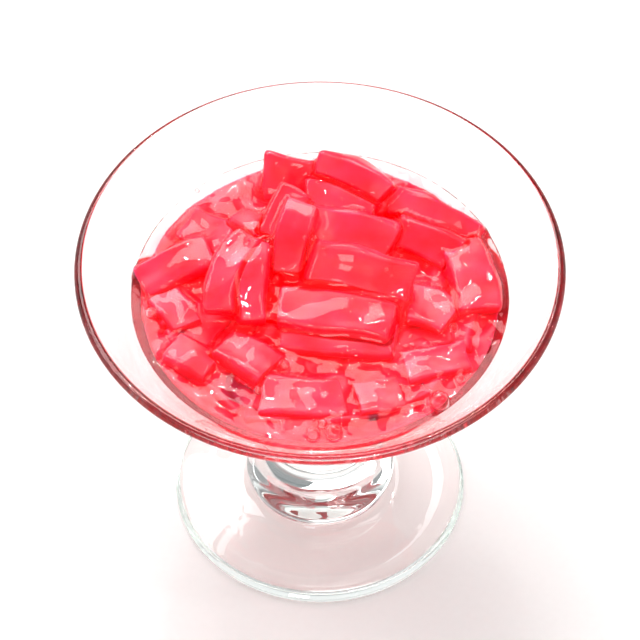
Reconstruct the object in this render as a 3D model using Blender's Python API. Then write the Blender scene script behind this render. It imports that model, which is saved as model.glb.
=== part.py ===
"""Cut jelly in red syrup, served in a footed dessert glass.

The glass is one turned solid: foot, stem and open bowl.  It is filled with
syrup that stands to one level, with a low mound of soaked jelly in the middle,
and a heap of cut jelly strips lies on and in it.  Sizes are in millimetres;
the model is built in metres, +Z up, standing on Z = 0 with its axis on X = Y = 0.
"""
import math
from collections import namedtuple

import bmesh
import bpy
from mathutils import Vector

MM = 0.001

# ---- driving dimensions, mm ------------------------------------------------
HEIGHT = 90.0           # of the glass
RIM_RADIUS = 57.5       # outer edge of the lip
FOOT_RADIUS = 36.5
WALL_LEAN = 0.83        # the wall runs out this much for each mm it rises
WALL_THICKNESS = 2.6    # measured level
BOWL_FLOOR = 46.0       # inside of the bowl, on the axis
WALL_FOOT = 52.0        # where the straight inner wall begins
WALL_TOP = 87.0         # where it ends, below the lip
SYRUP_LEVEL = 77.5
MOUND_RISE = 4.5        # soaked jelly under the heap, above the level
GAP = 0.3               # between pieces that touch
EDGE_ROUND = 0.8        # of a cut strip's edges
TYPICAL_RUN = 25.0      # length of a cut strip
SHORE = 1.2             # strips stay this far from the wall
WALL_REACH = 30.0       # a strip that comes this far out may meet the wall
MOUND_MIDDLE = 8.0      # the mound lies this far behind the axis
MOUND_RADIUS = 27.0
TURNS = 36              # segments of the turned shapes


# ---- small helpers -----------------------------------------------------------
def make_material(name, colour, roughness):
    """A plain finish: colour and roughness, no metal."""
    material = bpy.data.materials.new(name)
    material.use_nodes = True
    shader = material.node_tree.nodes["Principled BSDF"]
    shader.inputs["Base Color"].default_value = (*colour, 1.0)
    shader.inputs["Roughness"].default_value = roughness
    shader.inputs["Metallic"].default_value = 0.0
    return material


def make_object(name, mesh, material=None):
    """Link a mesh to the scene as one named object."""
    piece = bpy.data.objects.new(name, mesh)
    bpy.context.scene.collection.objects.link(piece)
    if material:
        mesh.materials.append(material)
    return piece


def make_helper(name, mesh):
    """An object that only cuts others."""
    helper = make_object(name, mesh)
    helper.hide_render = True
    helper.display_type = "WIRE"
    return helper


def add_boolean(piece, helper, operation):
    """Cut a piece with a helper, or keep only what lies inside it."""
    cut = piece.modifiers.new(helper.name, "BOOLEAN")
    cut.operation = operation
    cut.solver = "EXACT"
    cut.object = helper


def flowing_line(points, steps):
    """Points on a smooth line through the given ones, ends included."""
    padded = [points[0], *points, points[-1]]
    line = []
    for a, b, c, d in zip(padded, padded[1:], padded[2:], padded[3:]):
        for step in range(steps):
            t = step / steps
            line.append(tuple(
                0.5 * (2 * q + (r - p) * t + (2 * p - 5 * q + 4 * r - s) * t ** 2
                       + (3 * q - p - 3 * r + s) * t ** 3)
                for p, q, r, s in zip(a, b, c, d)))
    line.append(tuple(points[-1]))
    return line


def turned_mesh(name, profile):
    """Spin an outline of (radius, height) round Z.

    The outline runs from the axis, up the inside, over the lip and down the
    outside back to the axis.
    """
    shape = bmesh.new()
    corners = [shape.verts.new((r * MM, 0.0, z * MM)) for r, z in profile]
    edges = [shape.edges.new(pair) for pair in zip(corners, corners[1:])]
    bmesh.ops.spin(shape, geom=corners + edges, axis=(0, 0, 1), cent=(0, 0, 0),
                   angle=math.tau, steps=TURNS, use_merge=True)
    bmesh.ops.remove_doubles(shape, verts=shape.verts, dist=0.00001)
    bmesh.ops.recalc_face_normals(shape, faces=shape.faces)
    mesh = bpy.data.meshes.new(name)
    shape.to_mesh(mesh)
    shape.free()
    return mesh


def finish_smooth(mesh, angle):
    """Shade round stretches smooth and keep the sharper edges."""
    mesh.shade_smooth()
    mesh.set_sharp_from_angle(angle=math.radians(angle))


# ---- the glass -----------------------------------------------------------------
def inner_radius(z):
    """Radius of the bowl's inner wall at a height, on its straight stretch."""
    return RIM_RADIUS - WALL_THICKNESS - WALL_LEAN * (HEIGHT - z)


def outer_radius(z):
    """Radius of the bowl's outer wall at a height, on its straight stretch."""
    return RIM_RADIUS - WALL_LEAN * (HEIGHT - z)


def lip_outline():
    """Half round of the lip, from the inner wall to the outer."""
    radius = WALL_THICKNESS / 2
    centre = RIM_RADIUS - radius
    base = HEIGHT - radius
    angles = [math.pi * (1 - step / 6) for step in range(7)]
    return [(centre + radius * math.cos(a), base + radius * math.sin(a)) for a in angles]


def glass_profile():
    """The whole outline of the glass."""
    inside = flowing_line([(0.0, BOWL_FLOOR), (11.0, 46.8), (19.0, 49.2),
                           (inner_radius(WALL_FOOT), WALL_FOOT)], 2)
    wall_top = (inner_radius(WALL_TOP), WALL_TOP)
    outer_top = (outer_radius(WALL_TOP), WALL_TOP)
    stem = flowing_line([(outer_radius(46.0), 46.0), (16.2, 40.5), (13.6, 34.0),
                         (13.2, 28.0), (14.0, 21.0), (16.8, 16.0), (18.5, 11.0),
                         (18.0, 8.0), (22.0, 5.8), (34.5, 3.2)], 2)
    foot = [(FOOT_RADIUS - 0.5, 2.6), (FOOT_RADIUS, 1.6), (FOOT_RADIUS - 0.4, 0.6),
            (FOOT_RADIUS - 1.5, 0.0)]
    hollow = [(28.0, 0.0), (24.0, 0.9), (16.0, 2.4), (8.0, 3.4), (0.0, 3.8)]
    return [*inside, wall_top, *lip_outline(), outer_top, *stem, *foot, *hollow]


def build_glass():
    """Foot, stem and bowl in one piece."""
    mesh = turned_mesh("glass", glass_profile())
    finish_smooth(mesh, 40)
    return make_object("glass", mesh, make_material("soda_glass", (0.93, 0.97, 0.95), 0.02))


# ---- the strips ------------------------------------------------------------------
# A strip runs through three places, start, middle and end, in mm.  Roll turns
# its broad side about that run, in degrees; at 0 the broad side faces up.
Strip = namedtuple("Strip", "name start middle end roll width thickness")

STRIPS = (
    # the top of the heap
    Strip("front_slab", (-2, 2.5, 88), (10, 1, 86), (22, -1, 83.5), 50, 10, 4.5),
    Strip("standing", (-4, 17, 90.5), (-6.5, 9, 88), (-7.5, 3, 82.5), 0, 8.5, 5.5),
    Strip("twin_left", (-23.5, -8.5, 81), (-22, 1, 85), (-16.5, 10.5, 86), 0, 8, 6),
    Strip("twin_right", (-15.5, -10, 79.5), (-15.5, 0, 84.5), (-14.5, 8, 86.5), 0, 7, 6),
    # two stacked in front
    Strip("upper_slab", (-9.5, -6.5, 81), (4, -8, 80.5), (17, -10, 79.5), 5, 11, 4.5),
    Strip("lower_slab", (-9.5, -12, 77), (4, -12.5, 77.3), (17.5, -13, 77), 6, 10, 4.5),
    # behind them, up against the far wall
    Strip("back_top", (0, 34, 86), (8.5, 31.5, 85), (16, 26.5, 82.5), 40, 7, 6.5),
    Strip("boxed", (-3, 16.5, 83.5), (7, 15.5, 83), (16.5, 12.5, 81.5), 28, 10.5, 5),
    Strip("leaning", (-5.5, 23.5, 88.5), (-8.5, 18, 86), (-11.5, 12, 83), 0, 9, 5),
    Strip("back_left", (-13, 35, 80.5), (-3.5, 33, 80.5), (6, 30.5, 79.5), 48, 12, 6),
    Strip("back_flat", (-3, 26.5, 81), (5.5, 26, 81), (13, 24, 80.5), 20, 9, 5.5),
    # round the sides
    Strip("dark_chunk", (-19.5, 20.5, 81.5), (-17, 17.5, 82.5), (-14, 14, 82.5), 0, 7, 5.5),
    Strip("left_chunk", (-31.5, 22, 76.5), (-27.5, 18.5, 78), (-21, 14.5, 79.5), 20, 10, 6),
    Strip("left_wall", (-43, 3.5, 76.5), (-34.5, 8, 78), (-25.5, 12.5, 79), 10, 9, 6),
    Strip("back_right", (15, 27, 79.5), (26, 24.5, 79), (36, 16.5, 77), 25, 8.5, 5),
    Strip("right_inner", (18, 17.5, 79.5), (25.5, 14.5, 79), (32.5, 10.5, 77.5), 25, 8, 5),
    Strip("right_wall", (33, 13, 78), (36, 4.5, 78), (37.5, -5, 76.5), 0, 10, 5.5),
    Strip("right_low", (20.5, -2.5, 77), (26, -4, 77.3), (31, -7, 76.5), 0, 11, 5),
    # half sunk along the near side
    Strip("left_low", (-38, 1, 76), (-34.5, -4, 76.3), (-31.5, -9.5, 75.8), 0, 9, 5),
    Strip("near_left", (-22.5, -14.5, 76.5), (-17, -18, 76.8), (-11, -22.5, 76), -8, 10, 5),
    Strip("near_outer", (-35.5, -15, 76), (-30, -18.5, 76.3), (-24.5, -22, 76), 0, 9.5, 5),
    Strip("near_middle", (-13.5, -29, 75.7), (-3.5, -30.3, 76.1), (5.8, -29.5, 75.7), 4, 11, 5),
    Strip("near_round", (8.5, -30, 75.8), (13.5, -29, 76), (19, -27.5, 75.8), 0, 10, 5),
    Strip("near_right", (19.5, -21.5, 75.8), (27, -20, 76.2), (35, -17.5, 75.8), 0, 9.5, 5),
)


def strip_frames(strip, stations, grow):
    """Centre, side and thickness directions at each station along a strip."""
    start, middle, end = (Vector(p) for p in (strip.start, strip.middle, strip.end))
    handle = 2 * middle - (start + end) / 2
    frames = []
    for along in stations:
        t = min(max(along, 0.0), 1.0)
        centre = (1 - t) ** 2 * start + 2 * t * (1 - t) * handle + t ** 2 * end
        run = (2 * (1 - t) * (handle - start) + 2 * t * (end - handle)).normalized()
        side = Vector((0, 0, 1)).cross(run).normalized()
        up = run.cross(side)
        roll = math.radians(strip.roll)
        wide = side * math.cos(roll) + up * math.sin(roll)
        deep = run.cross(wide)
        if grow and along in (0.0, 1.0):
            centre += run * (grow if along else -grow)
        frames.append((centre, wide, deep))
    return frames


def rounded_section(width, thickness, corner):
    """Outline of a strip's cross-section, a rectangle with its corners eased."""
    points = []
    for quarter, (sx, sy) in enumerate(((1, 1), (-1, 1), (-1, -1), (1, -1))):
        for step in range(2):
            a = math.pi / 2 * (quarter + step)
            points.append((sx * (width / 2 - corner) + corner * math.cos(a),
                           sy * (thickness / 2 - corner) + corner * math.sin(a)))
    return points


def strip_mesh(name, strip, grow=0.0):
    """Sweep the section along the strip; `grow` makes the whole thing fatter."""
    ease = EDGE_ROUND / TYPICAL_RUN     # the ends' rounding, as a share of the run
    inner = [step / 5 for step in range(1, 5)]
    stations = [0.0, ease, *inner, 1.0 - ease, 1.0]
    frames = strip_frames(strip, stations, grow)
    shape = bmesh.new()
    rings = []
    for along, (centre, wide, deep) in zip(stations, frames):
        fatter = 2 * grow - (EDGE_ROUND if along in (0.0, 1.0) else 0.0)
        section = rounded_section(strip.width + fatter, strip.thickness + fatter, EDGE_ROUND)
        rings.append([shape.verts.new((centre + wide * x + deep * y) * MM) for x, y in section])
    for near, far in zip(rings, rings[1:]):
        for a, b, c, d in zip(near, near[1:] + near[:1], far[1:] + far[:1], far):
            shape.faces.new((a, b, c, d))
    shape.faces.new(rings[0])
    shape.faces.new(rings[-1])
    bmesh.ops.recalc_face_normals(shape, faces=shape.faces)
    mesh = bpy.data.meshes.new(name)
    shape.to_mesh(mesh)
    shape.free()
    finish_smooth(mesh, 50)
    return mesh


def near_each_other(one, other):
    """True where the boxes round two strips meet."""
    def box(strip):
        margin = (strip.width + strip.thickness) / 2
        places = (strip.start, strip.middle, strip.end)
        return [(min(p[i] for p in places) - margin, max(p[i] for p in places) + margin)
                for i in range(3)]
    return all(a[0] < b[1] and b[0] < a[1] for a, b in zip(box(one), box(other)))


def bowl_room():
    """The space inside the bowl that strips may fill."""
    bottom, top = 55.0, HEIGHT + 20.0
    lower = inner_radius(bottom) - SHORE
    upper = inner_radius(top) - SHORE
    mesh = turned_mesh("bowl_room", [(0.0, top), (upper, top), (lower, bottom), (0.0, bottom)])
    return make_helper("bowl_room", mesh)


def build_strips(room):
    """The heap; each strip gives way to the ones listed before it."""
    cutters = []
    for strip in STRIPS:
        material = make_material("jelly_" + strip.name, (0.90, 0.10, 0.17), 0.18)
        piece = make_object("strip_" + strip.name, strip_mesh(strip.name, strip), material)
        for other, cutter in cutters:
            if near_each_other(strip, other):
                add_boolean(piece, cutter, "DIFFERENCE")
        reach = max(math.hypot(*p[:2]) for p in (strip.start, strip.middle, strip.end))
        if reach > WALL_REACH:
            add_boolean(piece, room, "INTERSECT")
        mesh = strip_mesh("cut_" + strip.name, strip, GAP)
        cutters.append((strip, make_helper("cut_" + strip.name, mesh)))
    return [cutter for _, cutter in cutters]


# ---- the syrup -------------------------------------------------------------------
def mound(x, y):
    """How far the soaked jelly stands above the level at a place."""
    spread = min(math.hypot(x, y - MOUND_MIDDLE) / MOUND_RADIUS, 1.0)
    return MOUND_RISE * (0.5 + 0.5 * math.cos(math.pi * spread))


def build_syrup(cutters):
    """Liquid and sunk jelly up to the level, cut round the strips."""
    offset = GAP * math.hypot(1.0, WALL_LEAN)   # level measure of a gap square to the wall
    rings = [38.0, 30.0, 23.0, 16.0, 8.0]
    floor = flowing_line([(0.0, BOWL_FLOOR + GAP), (11.0 - offset, 46.8 + GAP),
                          (19.0 - offset, 49.2 + GAP),
                          (inner_radius(WALL_FOOT) - offset, WALL_FOOT)], 2)
    side = [(inner_radius(z) - offset, z) for z in (64.0, SYRUP_LEVEL)]
    top = [(r, SYRUP_LEVEL) for r in rings] + [(0.0, SYRUP_LEVEL)]
    mesh = turned_mesh("syrup", [*floor, *side, *top])
    for vertex in mesh.vertices:
        x, y, z = (c / MM for c in vertex.co)
        if z > SYRUP_LEVEL - 0.01:
            vertex.co.z += mound(x, y) * MM
    finish_smooth(mesh, 40)
    piece = make_object("syrup", mesh, make_material("red_syrup", (0.62, 0.01, 0.03), 0.05))
    for cutter in cutters:
        add_boolean(piece, cutter, "DIFFERENCE")
    return piece


# ---- the whole object --------------------------------------------------------------
def main():
    for old in list(bpy.data.objects):
        bpy.data.objects.remove(old, do_unlink=True)
    build_glass()
    cutters = build_strips(bowl_room())
    build_syrup(cutters)


main()
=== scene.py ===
# %% [markdown]
# # Cut jelly in red syrup, in a footed glass
#
# A wide dessert glass is filled with clear red syrup.  Strips of pink jelly, cut
# with a knife, are sunk in it and heaped on top, and everything above the level
# is wet.  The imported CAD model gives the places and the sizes: one node for the
# glass, one for the syrup and one for each strip of the heap.  This script loads
# it, and then makes the fine surfaces and the finishes round it.

# %% Load the frame
import math
import random

import bmesh
import bpy
import numpy as np
from mathutils import Euler, Matrix, Vector, noise


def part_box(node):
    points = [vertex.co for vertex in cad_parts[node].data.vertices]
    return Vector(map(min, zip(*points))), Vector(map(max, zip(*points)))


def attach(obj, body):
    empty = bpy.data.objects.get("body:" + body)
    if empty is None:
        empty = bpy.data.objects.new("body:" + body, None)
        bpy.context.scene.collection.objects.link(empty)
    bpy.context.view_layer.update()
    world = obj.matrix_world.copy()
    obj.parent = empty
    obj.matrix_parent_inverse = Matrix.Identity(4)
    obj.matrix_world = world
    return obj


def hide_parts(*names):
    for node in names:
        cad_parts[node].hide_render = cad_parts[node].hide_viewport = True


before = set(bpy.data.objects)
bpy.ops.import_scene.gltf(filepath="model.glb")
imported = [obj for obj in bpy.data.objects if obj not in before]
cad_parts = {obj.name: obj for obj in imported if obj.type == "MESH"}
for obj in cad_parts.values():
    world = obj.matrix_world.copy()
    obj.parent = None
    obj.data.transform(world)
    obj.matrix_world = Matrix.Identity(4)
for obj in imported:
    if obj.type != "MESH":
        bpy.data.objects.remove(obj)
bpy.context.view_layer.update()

strip_names = sorted(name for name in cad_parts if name.startswith("strip_"))
print("nodes:", len(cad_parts), "of which strips:", len(strip_names))

# %% [markdown]
# ## Units and the sizes that drive the rest
#
# Blender works in metres, while glass and food are thought of in millimetres, so
# sizes are written in mm and scaled once, when a mesh is made.  The rim and the
# height are read from the glass itself, and the level is given.

# %% Driving sizes
MM = 0.001
_, glass_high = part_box("glass")
RIM_RADIUS = glass_high.x / MM
HEIGHT = glass_high.z / MM
WALL_THICKNESS = 2.6        # measured level
WALL_LEAN = 0.83            # the wall runs out this much for each mm it rises
BOWL_FLOOR = 46.0           # inside of the bowl, on the axis
WALL_FOOT = 52.0            # where the straight inner wall begins
WALL_TOP = HEIGHT - 3.0     # where it ends, below the lip
LEVEL = 77.5                # of the syrup


def inner_radius(z):
    """Radius of the bowl's inner wall at a height, in mm."""
    return RIM_RADIUS - WALL_THICKNESS - WALL_LEAN * (HEIGHT - z)


def outer_radius(z):
    """Radius of the bowl's outer wall at a height, in mm."""
    return RIM_RADIUS - WALL_LEAN * (HEIGHT - z)


print("rim radius", round(RIM_RADIUS, 2), "height", round(HEIGHT, 2),
      "at the level", inner_radius(LEVEL))

# %% [markdown]
# ## Small tools
#
# A colour is written as the hex value a painter would pick on screen, and the
# shaders need it linear.  Node trees are built by one function that adds a node,
# sets it and links it.  Meshes are worked on in millimetres as numpy arrays.

# %% Colour, nodes and meshes
def linear(hex_text, alpha=1.0):
    """sRGB hex text to a linear colour."""
    parts = [int(hex_text[i:i + 2], 16) / 255 for i in (1, 3, 5)]
    flat = [p / 12.92 if p <= 0.04045 else ((p + 0.055) / 1.055) ** 2.4 for p in parts]
    return (*flat, alpha)


def add_node(tree, kind, settings=None, values=None, links=None):
    """Add a node, set its properties and socket values, and link what feeds it."""
    node = tree.nodes.new(kind)
    for name, value in (settings or {}).items():
        setattr(node, name, value)
    for socket, value in (values or {}).items():
        node.inputs[socket].default_value = value
    for socket, source in (links or {}).items():
        tree.links.new(source, node.inputs[socket])
    return node


def new_material(name):
    """An empty material with its output node."""
    material = bpy.data.materials.new(name)
    material.use_nodes = True
    tree = material.node_tree
    tree.nodes.clear()
    return material, tree, tree.nodes.new("ShaderNodeOutputMaterial")


def mesh_from(name, points, faces):
    """A mesh from points in mm."""
    mesh = bpy.data.meshes.new(name)
    mesh.from_pydata([tuple(p) for p in points], [], faces)
    mesh.update()
    return mesh


def new_object(name, mesh):
    """Link a mesh to the scene."""
    piece = bpy.data.objects.new(name, mesh)
    bpy.context.scene.collection.objects.link(piece)
    return piece


def get_points(mesh):
    """Vertex places as an array."""
    points = np.empty(len(mesh.vertices) * 3, np.float32)
    mesh.vertices.foreach_get("co", points)
    return points.reshape(-1, 3).astype(float)


def set_points(mesh, points):
    """Write vertex places back."""
    mesh.vertices.foreach_set("co", np.ascontiguousarray(points, np.float32).ravel())
    mesh.update()


def get_normals(mesh):
    """Vertex normals as an array."""
    normals = np.empty(len(mesh.vertices) * 3, np.float32)
    mesh.vertex_normals.foreach_get("vector", normals)
    return normals.reshape(-1, 3).astype(float)


def relax(mesh, times, amount=0.5):
    """Move each vertex towards the middle of its neighbours."""
    edges = np.empty(len(mesh.edges) * 2, np.int32)
    mesh.edges.foreach_get("vertices", edges)
    a, b = edges.reshape(-1, 2).T
    points = get_points(mesh)
    count = np.bincount(np.concatenate((a, b)), minlength=len(points))[:, None]
    for _ in range(times):
        total = np.zeros_like(points)
        np.add.at(total, a, points[b])
        np.add.at(total, b, points[a])
        points += amount * (total / np.maximum(count, 1) - points)
    set_points(mesh, points)


def evaluated_copy(piece, name):
    """The piece's mesh with its modifiers applied, as a new mesh; the piece goes."""
    graph = bpy.context.evaluated_depsgraph_get()
    mesh = bpy.data.meshes.new_from_object(piece.evaluated_get(graph), depsgraph=graph)
    mesh.name = name
    bpy.data.objects.remove(piece, do_unlink=True)
    return mesh


def remeshed(mesh, voxel):
    """Rebuild a mesh, which may be several crossing solids, as one even skin."""
    piece = new_object("to_remesh", mesh)
    modifier = piece.modifiers.new("voxels", "REMESH")
    modifier.mode = "VOXEL"
    modifier.voxel_size = voxel
    modifier.use_smooth_shade = True
    return evaluated_copy(piece, "remeshed")


def cad_copy(node):
    """A CAD node's mesh, merged and in mm."""
    shape = bmesh.new()
    shape.from_mesh(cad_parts[node].data)
    bmesh.ops.remove_doubles(shape, verts=shape.verts, dist=0.000001)
    bmesh.ops.scale(shape, vec=(1.0 / MM,) * 3, verts=shape.verts)
    mesh = bpy.data.meshes.new(node + "_mm")
    shape.to_mesh(mesh)
    shape.free()
    return mesh


def finish_piece(name, mesh, material, slot, *nodes):
    """Scale a finished mesh to metres and hand it to the frame."""
    set_points(mesh, get_points(mesh) * MM)
    mesh.name = name
    mesh.materials.clear()
    mesh.materials.append(material)
    mesh.shade_smooth()
    piece = new_object(name, mesh)
    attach(piece, "root")
    if nodes:
        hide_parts(*nodes)
    low, high = mesh_box(mesh)
    print(f"{name}: {len(mesh.polygons)} faces, z {low[2] / MM:.1f} to {high[2] / MM:.1f} mm")
    return piece


def mesh_box(mesh):
    """Lowest and highest corner of a mesh."""
    points = get_points(mesh)
    return points.min(0), points.max(0)


# %% [markdown]
# ## The camera and the light
#
# The glass is seen from the front and well above, so that the whole surface of
# the syrup shows inside the rim.  A long lens keeps the two rims of the glass
# nearly parallel.

# %% Camera
CAMERA_ELEVATION = math.radians(51.8)
camera_distance = 14.0 * RIM_RADIUS * MM
aim = Vector((0.0, 0.0, 68.0 * MM))
camera_data = bpy.data.cameras.new("camera")
camera_data.sensor_width = 36.0
camera_data.lens = 189.7
camera_data.clip_start = 0.01
camera = bpy.data.objects.new("camera", camera_data)
bpy.context.scene.collection.objects.link(camera)
camera.location = aim + camera_distance * Vector(
    (0.0, -math.cos(CAMERA_ELEVATION), math.sin(CAMERA_ELEVATION)))
camera.rotation_euler = (aim - camera.location).to_track_quat("-Z", "Y").to_euler()
bpy.context.scene.camera = camera
print("camera at", [round(c, 3) for c in camera.location])

# %% [markdown]
# Clear things are seen by what they bend and mirror.  The world is a tent that is
# white near the table, where it lights the walls of the glass, and grey above,
# so that the wet jelly keeps its colour.  A few soft boxes give it its windows of
# light, and small bright lamps its sparks.

# %% World, lamps and table
scene = bpy.context.scene
scene.view_settings.view_transform = "Standard"
CLEAR_BOUNCES = 56          # light runs a long way round inside the rim
SHADOW_BOUNCES = 28
scene.cycles.max_bounces = CLEAR_BOUNCES
scene.cycles.transmission_bounces = CLEAR_BOUNCES
scene.cycles.glossy_bounces = CLEAR_BOUNCES
scene.cycles.transparent_max_bounces = SHADOW_BOUNCES

world = bpy.data.worlds.new("tent")
scene.world = world
world.use_nodes = True
tent = world.node_tree
tent.nodes.clear()
place = add_node(tent, "ShaderNodeTexCoord")
parts = add_node(tent, "ShaderNodeSeparateXYZ", links={"Vector": place.outputs["Generated"]})
shade = add_node(tent, "ShaderNodeValToRGB", links={"Fac": parts.outputs["Z"]})
for index, (height, colour) in enumerate(
        ((0.03, "#7C7E80"), (0.09, "#FFFFFF"), (0.25, "#FFFFFF"), (0.55, "#94989A"))):
    stop = shade.color_ramp.elements[index] if index < 2 else shade.color_ramp.elements.new(height)
    stop.position = height
    stop.color = linear(colour)
sky = add_node(tent, "ShaderNodeBackground", values={"Strength": 1.0},
               links={"Color": shade.outputs["Color"]})
add_node(tent, "ShaderNodeOutputWorld", links={"Surface": sky.outputs["Background"]})


def soft_box(name, azimuth, elevation, distance, width, height, glow):
    """A rectangular lamp aimed at the bowl, as bright as `glow` times white paper.

    Azimuth 0 is behind the camera and 90 is to its right.
    """
    lamp = bpy.data.lights.new(name, "AREA")
    lamp.shape = "RECTANGLE"
    lamp.size = width
    lamp.size_y = height
    lamp.energy = glow * math.pi * width * height
    turn, rise = math.radians(azimuth), math.radians(elevation)
    holder = bpy.data.objects.new(name, lamp)
    bpy.context.scene.collection.objects.link(holder)
    target = Vector((0.0, 0.0, LEVEL * MM))
    holder.location = target + distance * Vector(
        (math.sin(turn) * math.cos(rise), -math.cos(turn) * math.cos(rise), math.sin(rise)))
    holder.rotation_euler = (target - holder.location).to_track_quat("-Z", "Y").to_euler()
    return holder


soft_box("back_box", 199.0, 53.0, 0.95, 0.58, 0.44, 5.6)
soft_box("window", -14.0, 27.0, 0.8, 0.17, 0.22, 7.0)
soft_box("left_box", -110.0, 48.0, 0.9, 0.30, 0.30, 6.0)
soft_box("right_box", 80.0, 62.0, 1.0, 0.40, 0.30, 3.5)
soft_box("spark", 35.0, 68.0, 0.7, 0.035, 0.014, 260.0)
soft_box("spark_left", -150.0, 60.0, 0.8, 0.014, 0.035, 260.0)
soft_box("streak_back", 168.0, 66.0, 0.8, 0.20, 0.006, 160.0)
soft_box("streak_right", 115.0, 42.0, 0.8, 0.006, 0.20, 160.0)
soft_box("streak_front", 20.0, 50.0, 0.85, 0.16, 0.006, 130.0)
soft_box("dash_back", 190.0, 47.0, 0.8, 0.10, 0.005, 220.0)
soft_box("dash_left", 170.0, 57.0, 0.8, 0.06, 0.006, 220.0)
soft_box("dash_right", 209.0, 60.0, 0.8, 0.006, 0.07, 220.0)

TABLE_HALF = 900            # mm
TABLE_GAP = 0.02            # between table and foot, so that the two never fight, mm
table_mesh = mesh_from(
    "table", [(x * TABLE_HALF, y * TABLE_HALF, -TABLE_GAP) for x, y in
              ((-1, -1), (1, -1), (1, 1), (-1, 1))], [(0, 1, 2, 3)])
set_points(table_mesh, get_points(table_mesh) * MM)
table = new_object("table", table_mesh)
paper, tree, out = new_material("matt_white_board")
grain = add_node(tree, "ShaderNodeTexNoise", values={"Scale": 900.0, "Detail": 3.0})
tint = add_node(tree, "ShaderNodeValToRGB", links={"Fac": grain.outputs["Fac"]})
tint.color_ramp.elements[0].color = linear("#F2F0EE")
tint.color_ramp.elements[1].color = linear("#F6F4F2")
board = add_node(tree, "ShaderNodeBsdfPrincipled", values={"Roughness": 0.6},
                 links={"Base Color": tint.outputs["Color"]})
tree.links.new(board.outputs["BSDF"], out.inputs["Surface"])
table_mesh.materials.append(paper)

# %% [markdown]
# ## Finishes
#
# **Soda-lime glass**, pressed and fire-polished: clear, with a breath of green
# where it is thick.  **Red syrup**: sugar water with colour in it, which drinks
# the green and the blue out of the light, so it goes from pink to deep red with
# its depth.  **Agar jelly**: cloudy and pink, lit from inside as much as from
# outside.  Light has to reach what lies inside glass and liquid, so for shadow
# rays those two let light straight through, tinted.

# %% Glass, syrup and jelly
def clear_material(name, ior, tint, shadow_tint):
    """A clear dielectric that casts light, coloured shadows."""
    material, tree, out = new_material(name)
    body = add_node(tree, "ShaderNodeBsdfPrincipled", values={
        "Base Color": linear(tint), "Roughness": 0.0, "IOR": ior,
        "Transmission Weight": 1.0})
    straight = add_node(tree, "ShaderNodeBsdfTransparent", values={"Color": linear(shadow_tint)})
    path = add_node(tree, "ShaderNodeLightPath")
    mix = add_node(tree, "ShaderNodeMixShader", links={
        0: path.outputs["Is Shadow Ray"], 1: body.outputs["BSDF"], 2: straight.outputs["BSDF"]})
    tree.links.new(mix.outputs["Shader"], out.inputs["Surface"])
    return material, tree, out


def add_drink(tree, out, colour, density):
    """Make a clear material take colour from light by the length of its way through."""
    drink = add_node(tree, "ShaderNodeVolumeAbsorption", values={
        "Color": (*colour, 1.0), "Density": density})
    tree.links.new(drink.outputs["Volume"], out.inputs["Volume"])


soda_glass, tree, out = clear_material("soda_lime_glass", 1.52, "#FFFFFF", "#C8BEBE")
add_drink(tree, out, (0.74, 0.92, 0.84), 4.5)
syrup_look, tree, out = clear_material("red_sugar_syrup", 1.36, "#FFFFFF", "#FFF8F8")
add_drink(tree, out, (0.97, 0.03, 0.19), 110.0)

jelly_look, tree, out = new_material("agar_jelly")
where = add_node(tree, "ShaderNodeTexCoord")
cloud = add_node(tree, "ShaderNodeTexNoise", values={"Scale": 110.0, "Detail": 3.0},
                 links={"Vector": where.outputs["Object"]})
pinks = add_node(tree, "ShaderNodeValToRGB", links={"Fac": cloud.outputs["Fac"]})
pinks.color_ramp.elements[0].position = 0.35
pinks.color_ramp.elements[0].color = linear("#FF1030")
pinks.color_ramp.elements[1].position = 0.65
pinks.color_ramp.elements[1].color = linear("#FF2A50")
jelly_body = add_node(tree, "ShaderNodeBsdfPrincipled", values={
    "Roughness": 0.3, "IOR": 1.36, "Subsurface Weight": 1.0,
    "Subsurface Radius": (1.0, 0.20, 0.24), "Subsurface Scale": 8.0 * MM},
    links={"Base Color": pinks.outputs["Color"]})
through = add_node(tree, "ShaderNodeBsdfTransparent", values={"Color": linear("#BE7C80")})
path = add_node(tree, "ShaderNodeLightPath")
lit = add_node(tree, "ShaderNodeMixShader", links={
    0: path.outputs["Is Shadow Ray"], 1: jelly_body.outputs["BSDF"], 2: through.outputs["BSDF"]})
tree.links.new(lit.outputs["Shader"], out.inputs["Surface"])
print("finishes:", soda_glass.name, syrup_look.name, jelly_look.name)

# %% [markdown]
# ## The glass
#
# Foot, stem and bowl were pressed in one piece and are round, so half of its
# cross-section says everything.  The outline is a short list of places joined by
# a smooth line, and Geometry Nodes sweep it round a circle.  A Screw modifier
# would do it as well; the nodes keep the number of segments as a named input.

# %% Outline of the glass
def flowing_line(points, steps):
    """Points on a smooth line through the given ones, ends included."""
    padded = [points[0], *points, points[-1]]
    line = []
    for a, b, c, d in zip(padded, padded[1:], padded[2:], padded[3:]):
        for step in range(steps):
            t = step / steps
            line.append(tuple(
                0.5 * (2 * q + (r - p) * t + (2 * p - 5 * q + 4 * r - s) * t ** 2
                       + (3 * q - p - 3 * r + s) * t ** 3)
                for p, q, r, s in zip(a, b, c, d)))
    line.append(tuple(points[-1]))
    return line


def lip_outline(steps=16):
    """Half round of the lip, from the inner wall to the outer."""
    radius = WALL_THICKNESS / 2
    turns = [math.pi * (1 - step / steps) for step in range(steps + 1)]
    return [(RIM_RADIUS - radius + radius * math.cos(a), HEIGHT - radius + radius * math.sin(a))
            for a in turns]


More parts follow.
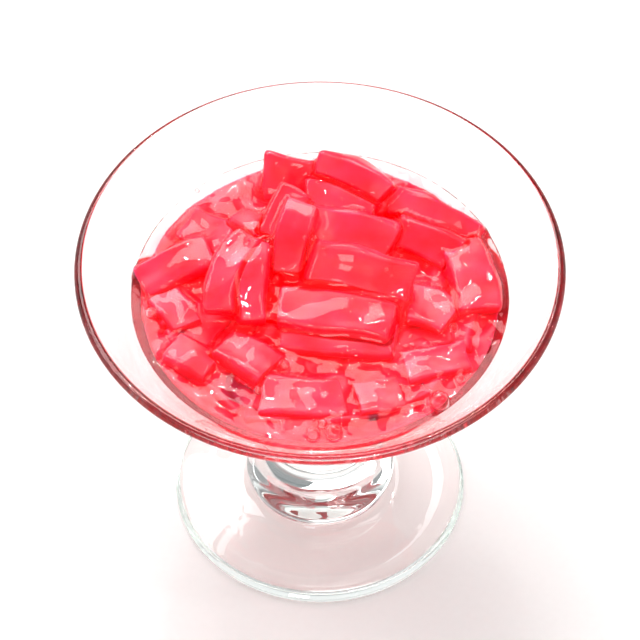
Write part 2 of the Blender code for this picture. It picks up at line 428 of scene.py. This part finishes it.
inside = flowing_line([(0.0, BOWL_FLOOR), (11.0, 46.8), (19.0, 49.2),
                       (inner_radius(WALL_FOOT), WALL_FOOT)], 8)
stem = flowing_line([(outer_radius(46.0), 46.0), (16.2, 40.5), (13.6, 34.0),
                     (13.2, 28.0), (14.0, 21.0), (16.8, 16.0), (18.5, 11.0),
                     (18.0, 8.0), (22.0, 5.8), (34.5, 3.2)], 8)
edge = flowing_line([(35.4, 3.0), (36.5, 1.6), (35.0, 0.0)], 6)
hollow = flowing_line([(28.0, 0.0), (24.0, 0.9), (16.0, 2.4), (8.0, 3.4), (0.0, 3.8)], 6)
outline = [*inside, (inner_radius(WALL_TOP), WALL_TOP), *lip_outline(),
           (outer_radius(WALL_TOP), WALL_TOP), *stem, *edge, *hollow]
print("outline points:", len(outline))

# %% Geometry Nodes that turn an outline
def new_tree(name, inputs):
    """A geometry node tree with named inputs: (name, socket kind, default)."""
    tree = bpy.data.node_groups.new(name, "GeometryNodeTree")
    tree.interface.new_socket("Geometry", in_out="INPUT", socket_type="NodeSocketGeometry")
    tree.interface.new_socket("Geometry", in_out="OUTPUT", socket_type="NodeSocketGeometry")
    for label, kind, default in inputs:
        socket = tree.interface.new_socket(label, in_out="INPUT", socket_type=kind)
        if default is not None:
            socket.default_value = default
    return tree, tree.nodes.new("NodeGroupInput"), tree.nodes.new("NodeGroupOutput")


def run_tree(piece, tree, values):
    """Run a tree on a piece with the given inputs, and return the plain mesh."""
    modifier = piece.modifiers.new(tree.name, "NODES")
    modifier.node_group = tree
    for item in tree.interface.items_tree:
        if item.item_type == "SOCKET" and item.in_out == "INPUT" and item.name in values:
            modifier[item.identifier] = values[item.name]
    return evaluated_copy(piece, tree.name)


turn_tree, entry, exit_ = new_tree("Turn an outline", [
    ("Radius", "NodeSocketFloat", 1.0), ("Segments", "NodeSocketInt", 96),
    ("Material", "NodeSocketMaterial", None)])
profile = add_node(turn_tree, "GeometryNodeMeshToCurve", links={"Mesh": entry.outputs["Geometry"]})
ring = add_node(turn_tree, "GeometryNodeCurvePrimitiveCircle", links={
    "Resolution": entry.outputs["Segments"], "Radius": entry.outputs["Radius"]})
upright = add_node(turn_tree, "GeometryNodeSetCurveNormal", {"mode": "Z_UP"},
                   links={"Curve": ring.outputs["Curve"]})
sweep = add_node(turn_tree, "GeometryNodeCurveToMesh", links={
    "Curve": upright.outputs["Curve"], "Profile Curve": profile.outputs["Curve"]})
weld = add_node(turn_tree, "GeometryNodeMergeByDistance", values={"Distance": 0.002},
                links={"Geometry": sweep.outputs["Mesh"]})
smooth = add_node(turn_tree, "GeometryNodeSetShadeSmooth",
                  links={"Geometry": weld.outputs["Geometry"]})
coat = add_node(turn_tree, "GeometryNodeSetMaterial", links={
    "Geometry": smooth.outputs["Geometry"], "Material": entry.outputs["Material"]})
turn_tree.links.new(coat.outputs["Geometry"], exit_.inputs["Geometry"])


def signed_volume(mesh):
    """Volume inside a closed mesh; negative if its faces point inwards."""
    shape = bmesh.new()
    shape.from_mesh(mesh)
    volume = shape.calc_volume(signed=True)
    shape.free()
    return volume


def turned(name, points, segments, material):
    """Turn an outline of (radius, height) in mm round Z into a closed skin."""
    mesh = bpy.data.meshes.new(name + "_outline")
    flat = [(r - RIM_RADIUS, -z, 0.0) for r, z in points]
    mesh.from_pydata(flat, [(i, i + 1) for i in range(len(flat) - 1)], [])
    result = run_tree(new_object(name + "_outline", mesh), turn_tree, {
        "Radius": RIM_RADIUS, "Segments": segments, "Material": material})
    if signed_volume(result) < 0:
        result.flip_normals()
    low, high = mesh_box(result)
    print(name, "low", low.round(2), "high", high.round(2), "volume", round(signed_volume(result)))
    return result


glass_mesh = turned("glass", outline, 192, soda_glass)
finish_piece("footed_glass", glass_mesh, soda_glass, "glass", "glass")

# %% [markdown]
# ## The strips of jelly
#
# The strips were cut from a sheet with a knife: flat sides with fine grooves
# along them, edges that have gone soft, and faces that ripple a little.  The CAD
# strips have the right places and sizes but plain flat sides.  Each is rebuilt as
# an even skin of small faces and relaxed so that its edges go round.  Then noise
# moves it in or out: round lumps for the ripple, and noise that is drawn out
# along the strip for the grooves.

# %% Ripple and strips
FILM = 0.45                 # thickness of the wet film over a strip, mm
STRIP_VOXEL = 0.33
RIPPLE_HEIGHT = 0.3
RIPPLE_LENGTH = 6.0
GROOVE_HEIGHT = 0.25
GROOVE_SIZE = (3.6, 3.6, 26.0)   # across, across and along the strip, mm
HIGHEST = 93.0              # nothing wet stands above the CAD heap, mm
SWAY = 1.5                  # how far a strip is bent out of true, mm
SWAY_LENGTH = 13.0
SWAY_SEED = 3               # without it the vector noise changes from run to run
noise.seed_set(SWAY_SEED)


def ripple(points, length=RIPPLE_LENGTH, height=RIPPLE_HEIGHT):
    """Slow unevenness at each place, in mm."""
    return np.array([noise.noise(Vector(p) / length) for p in points]) * height


def long_axes(points):
    """Three directions of a strip, from its shortest to its longest."""
    centred = points - points.mean(0)
    _, axes = np.linalg.eigh(centred.T @ centred)
    for column in range(3):
        largest = np.argmax(np.abs(axes[:, column]))
        axes[:, column] *= np.sign(axes[largest, column])
    return axes


def soft_strip(node):
    """A CAD strip with round edges, grooves and ripples, one film thinner all round."""
    mesh = remeshed(cad_copy(node), STRIP_VOXEL)
    relax(mesh, 3)
    points = get_points(mesh)
    set_points(mesh, points + SWAY * np.array(
        [noise.noise_vector(Vector(p) / SWAY_LENGTH) for p in points]))
    points, normals = get_points(mesh), get_normals(mesh)
    along = (points @ long_axes(points)) / np.array(GROOVE_SIZE)
    grooves = ripple(along, 1.0, GROOVE_HEIGHT)
    points = points + normals * (ripple(points) + grooves - FILM)[:, None]
    points[:, 2] = np.minimum(points[:, 2], HIGHEST - FILM)
    set_points(mesh, points)
    return mesh


strip_meshes = {node: soft_strip(node) for node in strip_names}
for node, mesh in strip_meshes.items():
    finish_piece(node.replace("strip_", "jelly_"), mesh.copy(), jelly_look, "jelly", node)

# %% [markdown]
# ## Strips sunk in the syrup
#
# More strips lie just under the surface.  They are all much alike, so Geometry
# Nodes make one rounded bar and set it down on a list of places.  Some places are
# listed; the others come from a loop with a fixed seed that drops a strip at
# random and keeps it if it touches neither the wall nor a strip that is there
# already.  Deeper down single strips no longer show, so one lumpy mass fills the
# bowl from its floor, with creases where strips would meet.

# %% Places for the sunk strips
SUNK_SEED = 7
BAR = (23.0, 9.0, 5.0)      # length, width and thickness of a usual strip, mm


def bar_points(centre, turn, size):
    """Places spread along a bar, for keeping bars apart."""
    spots = [Vector((x * size[0] / 2, y * size[1] / 4, 0.0))
             for x in (-0.85, -0.45, 0.0, 0.45, 0.85) for y in (-1, 1)]
    matrix = Euler(turn).to_matrix()
    return [centre + matrix @ spot for spot in spots]


def strip_spots():
    """Places inside the CAD strips, so that sunk ones keep clear of them."""
    spots = []
    for node in strip_names:
        points = get_points(cad_copy(node))
        spots += [Vector(p) for p in (points + points.mean(0)) / 2] + [Vector(points.mean(0))]
    return spots


def fits(spots, taken, size, ceiling, shore):
    """True where a bar clears the wall, the surface and its neighbours."""
    half = size[2] / 2
    for spot in spots:
        out = math.hypot(spot.x, spot.y) + half
        if out > inner_radius(spot.z) - shore or not BOWL_FLOOR + half + 1.5 < spot.z < ceiling:
            return False
        if any((spot - other).length < size[2] * 0.9 for other in taken):
            return False
    return True


def random_size(chance):
    """A strip's size, from a half to a full one."""
    return (BAR[0] * chance.uniform(0.55, 1.1), BAR[1] * chance.uniform(0.8, 1.15), BAR[2])


def drop_bars(chance, layers, tries, ceiling, shore, tilt, taken):
    """Centres, turns and sizes of bars dropped at random, clear of `taken` spots."""
    bars = []
    for layer in layers:
        for _ in range(tries):
            reach = inner_radius(layer) * math.sqrt(chance.random())
            around = chance.uniform(0, math.tau)
            centre = Vector((reach * math.cos(around), reach * math.sin(around),
                             layer + chance.uniform(-1.0, 1.0)))
            turn = (chance.uniform(-tilt, tilt), chance.uniform(-tilt, tilt),
                    chance.uniform(0, math.pi))
            size = random_size(chance)
            spots = bar_points(centre, turn, size)
            if fits(spots, taken, size, ceiling, shore):
                taken += spots
                bars.append((centre, turn, size))
    return bars


def settled(x, y, depth, heading, lean, length, width):
    """A bar near the wall, drawn in until its corners clear wall and surface."""
    size = (length, width, BAR[2])
    centre = Vector((x, y, LEVEL - depth))
    outwards = math.atan2(y, x)
    tip = Matrix.Rotation(-lean, 3, Vector((-math.sin(outwards), math.cos(outwards), 0.0)))
    matrix = tip @ Matrix.Rotation(math.radians(heading), 3, "Z")
    corners = [matrix @ Vector((a * length / 2, b * width / 2, c * BAR[2] / 2))
               for a in (-1, 1) for b in (-1, 1) for c in (-1, 1)]
    step = Vector((math.cos(outwards), math.sin(outwards), 0.0)) * -0.5
    for _ in range(40):
        if all(math.hypot(*(centre + c).xy) < inner_radius((centre + c).z) - 0.4 for c in corners):
            break
        centre += step
    centre.z -= max(max((centre + c).z for c in corners) - (LEVEL - 0.5), 0.0)
    return centre, tuple(matrix.to_euler()), size


# Strips just under the surface, where they show between those of the heap:
# x and y of the middle, depth of the middle, heading in degrees, lean up the wall,
# length and width.
NEAR_SUNK = (
    (-9.0, -38.5, 4.0, 2, 0.45, 20, 9), (20.5, -35.5, 4.2, 28, 0.45, 16, 9),
    (-25.5, -29.5, 4.0, -42, 0.4, 15, 9.5), (8.0, -40.0, 4.6, 8, 0.5, 13, 8),
    (-40.5, -3.0, 4.4, 85, 0.5, 13, 8), (-38.0, -17.0, 4.6, -62, 0.5, 12, 8),
    (34.0, -25.0, 4.6, 52, 0.45, 14, 8), (40.0, -10.0, 4.8, 80, 0.5, 14, 8),
    (-20.0, -33.0, 4.8, -20, 0.3, 12, 8),
    (-13.0, -24.0, 4.4, -35, 0.0, 12, 7), (23.0, -12.0, 4.4, 20, 0.0, 16, 8),
    (-27.0, -8.0, 4.4, 60, 0.0, 14, 8), (41.5, 6.0, 5.0, 95, 0.5, 13, 7),
)

chance = random.Random(SUNK_SEED)
upper = [settled(*place) for place in NEAR_SUNK]
taken = strip_spots() + [spot for bar in upper for spot in bar_points(*bar)]
upper += drop_bars(chance, (74.0, 73.0, 72.0), 500, LEVEL - 2.2, 1.0, 0.22, taken)
print("sunk strips near the surface:", len(upper))

# %% Geometry Nodes that lay bars on places
bar_tree, entry, exit_ = new_tree("Lay bars", [
    ("Length", "NodeSocketFloat", 20.0), ("Width", "NodeSocketFloat", 9.0),
    ("Thickness", "NodeSocketFloat", 5.0), ("Edge", "NodeSocketFloat", 0.5),
    ("Bend", "NodeSocketFloat", 1.0), ("Material", "NodeSocketMaterial", None)])
size_node = add_node(bar_tree, "ShaderNodeCombineXYZ", links={
    "X": entry.outputs["Length"], "Y": entry.outputs["Width"], "Z": entry.outputs["Thickness"]})
bar = add_node(bar_tree, "GeometryNodeMeshCube",
               values={"Vertices X": 9, "Vertices Y": 5, "Vertices Z": 4},
               links={"Size": size_node.outputs["Vector"]})
rounded = add_node(bar_tree, "GeometryNodeSubdivisionSurface", values={"Level": 1},
                   links={"Mesh": bar.outputs["Mesh"], "Edge Crease": entry.outputs["Edge"]})
turn_of = add_node(bar_tree, "GeometryNodeInputNamedAttribute", {"data_type": "FLOAT_VECTOR"},
                   {"Name": "turn"})
scale_of = add_node(bar_tree, "GeometryNodeInputNamedAttribute", {"data_type": "FLOAT_VECTOR"},
                    {"Name": "stretch"})
as_turn = add_node(bar_tree, "FunctionNodeEulerToRotation",
                   links={"Euler": turn_of.outputs["Attribute"]})
lay = add_node(bar_tree, "GeometryNodeInstanceOnPoints", links={
    "Points": entry.outputs["Geometry"], "Instance": rounded.outputs["Mesh"],
    "Rotation": as_turn.outputs["Rotation"], "Scale": scale_of.outputs["Attribute"]})
real = add_node(bar_tree, "GeometryNodeRealizeInstances",
                links={"Geometry": lay.outputs["Instances"]})
here = add_node(bar_tree, "GeometryNodeInputPosition")
wander = add_node(bar_tree, "ShaderNodeTexNoise", values={"Scale": 0.09, "Detail": 1.0},
                  links={"Vector": here.outputs["Position"]})
centred = add_node(bar_tree, "ShaderNodeVectorMath", {"operation": "SUBTRACT"},
                   {1: (0.5, 0.5, 0.5)}, {0: wander.outputs["Color"]})
bent = add_node(bar_tree, "ShaderNodeVectorMath", {"operation": "SCALE"},
                links={0: centred.outputs["Vector"], "Scale": entry.outputs["Bend"]})
moved = add_node(bar_tree, "GeometryNodeSetPosition", links={
    "Geometry": real.outputs["Geometry"], "Offset": bent.outputs["Vector"]})
smooth = add_node(bar_tree, "GeometryNodeSetShadeSmooth",
                  links={"Geometry": moved.outputs["Geometry"]})
coat = add_node(bar_tree, "GeometryNodeSetMaterial", links={
    "Geometry": smooth.outputs["Geometry"], "Material": entry.outputs["Material"]})
bar_tree.links.new(coat.outputs["Geometry"], exit_.inputs["Geometry"])


def place_points(name, centres, **attributes):
    """Loose points in mm, with a vector attribute for each keyword."""
    mesh = mesh_from(name, centres, [])
    for label, values in attributes.items():
        attribute = mesh.attributes.new(label, "FLOAT_VECTOR", "POINT")
        attribute.data.foreach_set("vector", np.array(values, np.float32).ravel())
    return new_object(name, mesh)


def laid(name, bars):
    """A mesh of bars in their places, in mm."""
    places = place_points(name, [b[0] for b in bars], turn=[b[1] for b in bars],
                          stretch=[tuple(s / u for s, u in zip(b[2], BAR)) for b in bars])
    return run_tree(places, bar_tree, {
        "Length": BAR[0], "Width": BAR[1], "Thickness": BAR[2], "Edge": 0.55, "Bend": 2.5,
        "Material": jelly_look})


BED_GAP = 0.35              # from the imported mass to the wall, measured level
BED_TOP = 75.9              # height of the mass, a little under the level
LUMP_HEIGHT = 2.2           # depth of its creases, mm
SHORE = 5.0                 # the lumps die out over this far from the wall, mm
LUMP_SIZE = (9.0, 9.0, 5.5)


def joined(meshes):
    """Several meshes as one."""
    shape = bmesh.new()
    for mesh in meshes:
        shape.from_mesh(mesh)
    result = bpy.data.meshes.new("joined")
    shape.to_mesh(result)
    shape.free()
    return result


bed_side = [(inner_radius(z) - BED_GAP, z) for z in (56.0, 61.0, 66.0, 70.0, BED_TOP)]
bed_top = [(r, BED_TOP) for r in np.arange(38.0, 2.0, -4.0)]
packed = remeshed(turned("bed", [(0.0, BOWL_FLOOR + 1.0), (16.0, 49.5), *bed_side, *bed_top,
                                 (0.0, BED_TOP)], 96, jelly_look), 0.6)
relax(packed, 3)
points, normals = get_points(packed), get_normals(packed)
creased = np.abs(ripple(points / np.array(LUMP_SIZE), 1.0, 1.0))
creased = np.minimum(creased / 0.35, 1.0) - 1.0
to_wall = inner_radius(points[:, 2]) - np.hypot(points[:, 0], points[:, 1])
creased *= np.clip(to_wall / SHORE, 0.0, 1.0)
set_points(packed, points + normals * (LUMP_HEIGHT * creased)[:, None])
relax(packed, 1)
finish_piece("packed_jelly", packed, jelly_look, "jelly")
finish_piece("sunk_jelly", laid("upper_places", upper), jelly_look, "jelly")

# %% [markdown]
# ## The syrup
#
# The liquid fills the bowl to its level, climbs a little up whatever stands in it,
# fills the narrow gaps in the heap and lies as a film over every strip.  One skin
# does all of that: the body of the liquid and the strips of the heap are joined
# into one solid, grown, rebuilt and shrunk again.  Growing and shrinking leaves
# flat places as they were and fills the sharp inner corners with a curve, as
# surface tension does.

# %% Body of the liquid
INTO_WALL = 0.2             # the skin reaches this far into the glass
BEYOND_WALL = 1.6           # the body is made this much too wide, then cut to the wall
MOUND_RISE = 4.5
MOUND_MIDDLE = 8.0
MOUND_RADIUS = 27.0
SYRUP_VOXEL = 0.5
FILLET = 1.5
SKIN_RIPPLE = 0.6           # the wet skin's own waves, mm
SWIRL = 0.45                # smaller waves on the liquid between the strips, mm


def mound(x, y):
    """How far the soaked jelly stands above the level at a place."""
    spread = np.minimum(np.hypot(x, y - MOUND_MIDDLE) / MOUND_RADIUS, 1.0)
    return MOUND_RISE * (0.5 + 0.5 * np.cos(np.pi * spread))


def liquid_body():
    """The liquid up to its level, with the mound under the heap."""
    side = [(inner_radius(z) + BEYOND_WALL, z) for z in (58.0, 64.0, 70.0, LEVEL)]
    top = [(r, LEVEL) for r in np.arange(40.0, 1.0, -2.5)]
    mesh = turned("liquid", [*inside, *side, *top, (0.0, LEVEL)], 120, syrup_look)
    points = get_points(mesh)
    lift = mound(points[:, 0], points[:, 1])
    points[:, 2] += np.where(points[:, 2] > LEVEL - 0.01, lift, 0.0)
    set_points(mesh, points)
    return mesh


def push(mesh, distance):
    """Move a skin outwards along its normals."""
    set_points(mesh, get_points(mesh) + get_normals(mesh) * distance)


def keep_to_wall(points):
    """Put the wetted side exactly on the inner wall, a little inside the glass."""
    out = np.hypot(points[:, 0], points[:, 1])
    wall = inner_radius(points[:, 2]) + INTO_WALL
    wet = (out > wall - 1.2) & (points[:, 2] > WALL_FOOT) & (points[:, 2] < LEVEL - 3.0)
    scale = np.where(wet | (out > wall), wall / np.maximum(out, 1.0), 1.0)
    points[:, :2] *= scale[:, None]
    points[:, 2] = np.minimum(points[:, 2], HIGHEST)
    return points


wet_strips = list(strip_meshes.values())
for mesh in wet_strips:
    push(mesh, FILM)
skin = remeshed(joined([liquid_body(), *wet_strips]), SYRUP_VOXEL)
push(skin, FILLET)
skin = remeshed(skin, SYRUP_VOXEL)
push(skin, -FILLET)
relax(skin, 3)
points, normals = get_points(skin), get_normals(skin)
between = np.clip((LEVEL + 2.5 - points[:, 2]) / 1.5, 0.0, 1.0)
to_wall = inner_radius(points[:, 2]) - np.hypot(points[:, 0], points[:, 1])
waves = ripple(points + 40.0, 7.5, SKIN_RIPPLE) + ripple(points, 3.8, SWIRL) * between
points += normals * (waves * np.clip(to_wall / SHORE, 0.0, 1.0))[:, None]
set_points(skin, keep_to_wall(points))
skin_points, skin_normals = get_points(skin), get_normals(skin)
finish_piece("syrup_skin", skin, syrup_look, "syrup", "syrup")

# %% [markdown]
# ## Bubbles
#
# Stirred syrup holds air.  A few large bubbles sit at the surface near the wall,
# and many small ones cling to the film over the strips.  A bubble is a thin
# shell of syrup, so it needs an outer sphere and an inner one whose faces look
# inwards.  Geometry Nodes set both on a list of places that carry a radius.

# %% Bubbles
BUBBLE_SEED = 11
HOLLOW = 0.8                # inner radius of a bubble beside its outer one
SMALL_BUBBLES = 110
# Large ones: x, y and radius, in mm.
LARGE_BUBBLES = (
    (-8.4, -21.4, 1.5), (-14.3, -28.4, 1.1), (-1.6, -41.0, 1.7), (3.2, -40.6, 2.1),
    (0.6, -38.0, 1.2), (27.6, -32.0, 2.6), (32.5, -25.0, 1.2), (-39.6, -5.8, 1.5),
    (31.4, -9.9, 1.1), (14.0, 28.0, 0.7), (-11.2, -15.3, 0.7), (24.5, -34.0, 1.1),
)

bubble_tree, entry, exit_ = new_tree("Bubbles", [
    ("Hollow", "NodeSocketFloat", 0.9), ("Segments", "NodeSocketInt", 20),
    ("Material", "NodeSocketMaterial", None)])
ball = add_node(bubble_tree, "GeometryNodeMeshUVSphere", values={"Radius": 1.0, "Rings": 12},
                links={"Segments": entry.outputs["Segments"]})
radius_of = add_node(bubble_tree, "GeometryNodeInputNamedAttribute", {"data_type": "FLOAT_VECTOR"},
                     {"Name": "radius"})
shells = []
for is_inner in (False, True):
    size = radius_of.outputs["Attribute"]
    if is_inner:
        smaller = add_node(bubble_tree, "ShaderNodeVectorMath", {"operation": "SCALE"},
                           links={0: size, "Scale": entry.outputs["Hollow"]})
        size = smaller.outputs["Vector"]
    set_down = add_node(bubble_tree, "GeometryNodeInstanceOnPoints", links={
        "Points": entry.outputs["Geometry"], "Instance": ball.outputs["Mesh"], "Scale": size})
    shell = add_node(bubble_tree, "GeometryNodeRealizeInstances",
                     links={"Geometry": set_down.outputs["Instances"]}).outputs["Geometry"]
    if is_inner:
        shell = add_node(bubble_tree, "GeometryNodeFlipFaces",
                         links={"Mesh": shell}).outputs["Mesh"]
    shells.append(shell)
both = add_node(bubble_tree, "GeometryNodeJoinGeometry")
for shell in shells:
    bubble_tree.links.new(shell, both.inputs["Geometry"])
coat = add_node(bubble_tree, "GeometryNodeSetMaterial", links={
    "Geometry": both.outputs["Geometry"], "Material": entry.outputs["Material"]})
bubble_tree.links.new(coat.outputs["Geometry"], exit_.inputs["Geometry"])

chance = random.Random(BUBBLE_SEED)
centres = [Vector((x, y, LEVEL + 0.3 * radius)) for x, y, radius in LARGE_BUBBLES]
radii = [radius for _, _, radius in LARGE_BUBBLES]
facing_up = np.flatnonzero((skin_normals[:, 2] > 0.35) & (skin_points[:, 2] > LEVEL - 0.5))
for index in chance.sample(list(facing_up), SMALL_BUBBLES):
    radius = 0.22 + 0.4 * chance.random() ** 3
    centre = Vector(skin_points[index] + skin_normals[index] * 0.3 * radius)
    centre.z = min(centre.z, HIGHEST - radius)
    centres.append(centre)
    radii.append(radius)
places = place_points("bubble_places", centres, radius=[(r, r, r) for r in radii])
finish_piece("bubbles", run_tree(places, bubble_tree, {
    "Hollow": HOLLOW, "Segments": 20, "Material": syrup_look}), syrup_look, "syrup")
